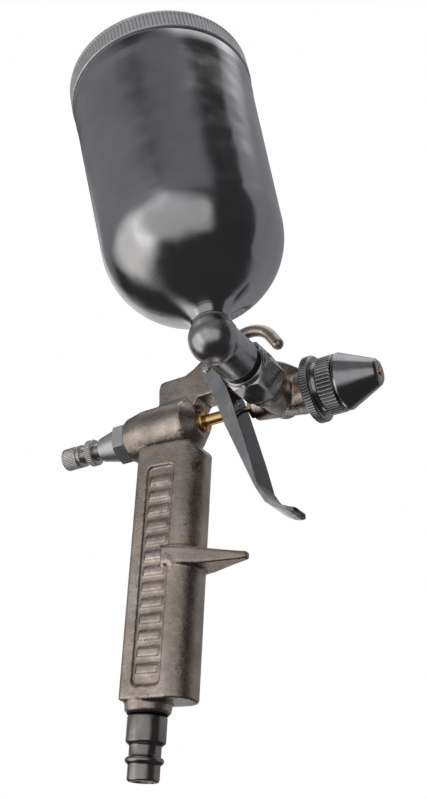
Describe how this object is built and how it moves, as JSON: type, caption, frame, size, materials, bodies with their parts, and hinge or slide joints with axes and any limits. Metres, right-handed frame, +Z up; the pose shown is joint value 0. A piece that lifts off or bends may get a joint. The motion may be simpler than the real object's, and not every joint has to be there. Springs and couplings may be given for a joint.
{
  "type": "airbrush gun",
  "caption": "Gravity-feed airbrush gun: cast pistol-grip body with trigger, side-mounted screw-lid paint cup, adjustable air cap, needle and air valve, and a quick-connect air plug.",
  "frame": {"origin": "middle of the air plug's open end, on the plug's axis", "axes": "+X forward along the barrel to the nozzle, +Z up, +Y to the gun's left; the cup stands on the -Y side"},
  "size_m": [0.1229, 0.0875, 0.2303],
  "materials": {
    "cast_nickel": "die-cast body with warm satin nickel plating, fine sparkling grain",
    "dark_steel": "turned dark steel, semi-gloss",
    "chrome": "bright chrome plating",
    "dark_aluminium": "polished dark gunmetal-anodised aluminium",
    "black_nickel": "polished black-nickel plating",
    "light_aluminium": "machined light aluminium, fine satin",
    "steel": "bright turned steel",
    "spring_steel": "drawn spring wire",
    "brass": "turned brass, semi-polished",
    "black_rubber": "smooth matt black rubber",
    "white_polymer": "smooth white nylon and PTFE"
  },
  "bodies": {
    "gun": {"gun_body": "cast_nickel", "air_plug": "dark_steel", "plug_seal": "black_rubber", "trigger_pivot_screw": "steel", "pivot_nut": "steel", "spring_housing": "light_aluminium", "tail_seal": "black_rubber", "valve_seat": "brass", "stem_packing": "white_polymer", "stem_gland_nut": "brass", "needle_packing": "white_polymer", "packing_nut": "brass", "fluid_nozzle": "brass", "cap_seal": "white_polymer", "elbow_seal": "white_polymer"},
    "trigger": {"trigger": "chrome"},
    "valve": {"air_valve_stem": "brass", "valve_seal": "black_rubber", "air_valve_spring": "spring_steel"},
    "needle": {"needle": "steel", "needle_chuck": "steel", "needle_spring": "spring_steel"},
    "knob": {"adjusting_knob": "light_aluminium"},
    "lock_ring": {"lock_ring": "light_aluminium"},
    "control_ring": {"air_control_ring": "black_nickel"},
    "cap": {"cap_ring": "black_nickel", "air_cap": "black_nickel"},
    "nut": {"union_nut": "chrome"},
    "cup": {"cup_elbow": "dark_aluminium", "union_ring": "black_rubber", "cup_shell": "dark_aluminium", "cup_seal": "white_polymer"},
    "lid": {"cup_lid": "light_aluminium", "vent_button": "white_polymer"},
    "gasket": {"lid_gasket": "white_polymer"}
  },
  "joints": [
    {"name": "trigger_pull", "type": "hinge", "parent": "gun", "child": "trigger", "pos_m": [0.0289, 0, 0.1307], "axis": [0, 1, 0], "range_deg": [0, 12], "stiffness_Nm_per_rad": 1.5, "springref_deg": -17.19},
    {"name": "valve_slide", "type": "slide", "parent": "gun", "child": "valve", "axis": [-1, 0, 0], "range_m": [0, 0.0036], "deforming": ["air_valve_spring"]},
    {"name": "needle_slide", "type": "slide", "parent": "gun", "child": "needle", "axis": [-1, 0, 0], "range_m": [0, 0.0036], "deforming": ["needle_spring"]},
    {"name": "knob_turn", "type": "hinge", "parent": "gun", "child": "knob", "pos_m": [0, 0, 0.1145], "axis": [1, 0, 0], "range_deg": [-1080, 0]},
    {"name": "lock_ring_turn", "type": "hinge", "parent": "gun", "child": "lock_ring", "pos_m": [0, 0, 0.1145], "axis": [1, 0, 0], "continuous": true},
    {"name": "control_ring_turn", "type": "hinge", "parent": "gun", "child": "control_ring", "pos_m": [0, 0, 0.1145], "axis": [1, 0, 0], "range_deg": [-150, 150]},
    {"name": "cap_ring_turn", "type": "hinge", "parent": "gun", "child": "cap", "pos_m": [0, 0, 0.1145], "axis": [1, 0, 0], "continuous": true},
    {"name": "union_nut_turn", "type": "hinge", "parent": "gun", "child": "nut", "pos_m": [0.054, 0, 0.1145], "axis": [0, -1, 0], "continuous": true},
    {"name": "cup_swivel", "type": "hinge", "parent": "gun", "child": "cup", "pos_m": [0.054, 0, 0.1145], "axis": [0, 1, 0], "range_deg": [-30, 50]},
    {"name": "lid_lift", "type": "slide", "parent": "cup", "child": "gasket", "axis": [-0.1702, 0, 0.9854], "range_m": [0, 0.0065]},
    {"name": "lid_turn", "type": "hinge", "parent": "gasket", "child": "lid", "pos_m": [0.054, -0.0448, 0.1145], "axis": [-0.1702, 0, 0.9854], "range_deg": [0, 936]}
  ],
  "couplings": [
    {"joint": "valve_slide", "follows": "trigger_pull", "m_per_rad": 0.017},
    {"joint": "needle_slide", "follows": "trigger_pull", "m_per_rad": 0.017},
    {"joint": "lid_lift", "follows": "lid_turn", "m_per_rad": 0.00039789}
  ]
}
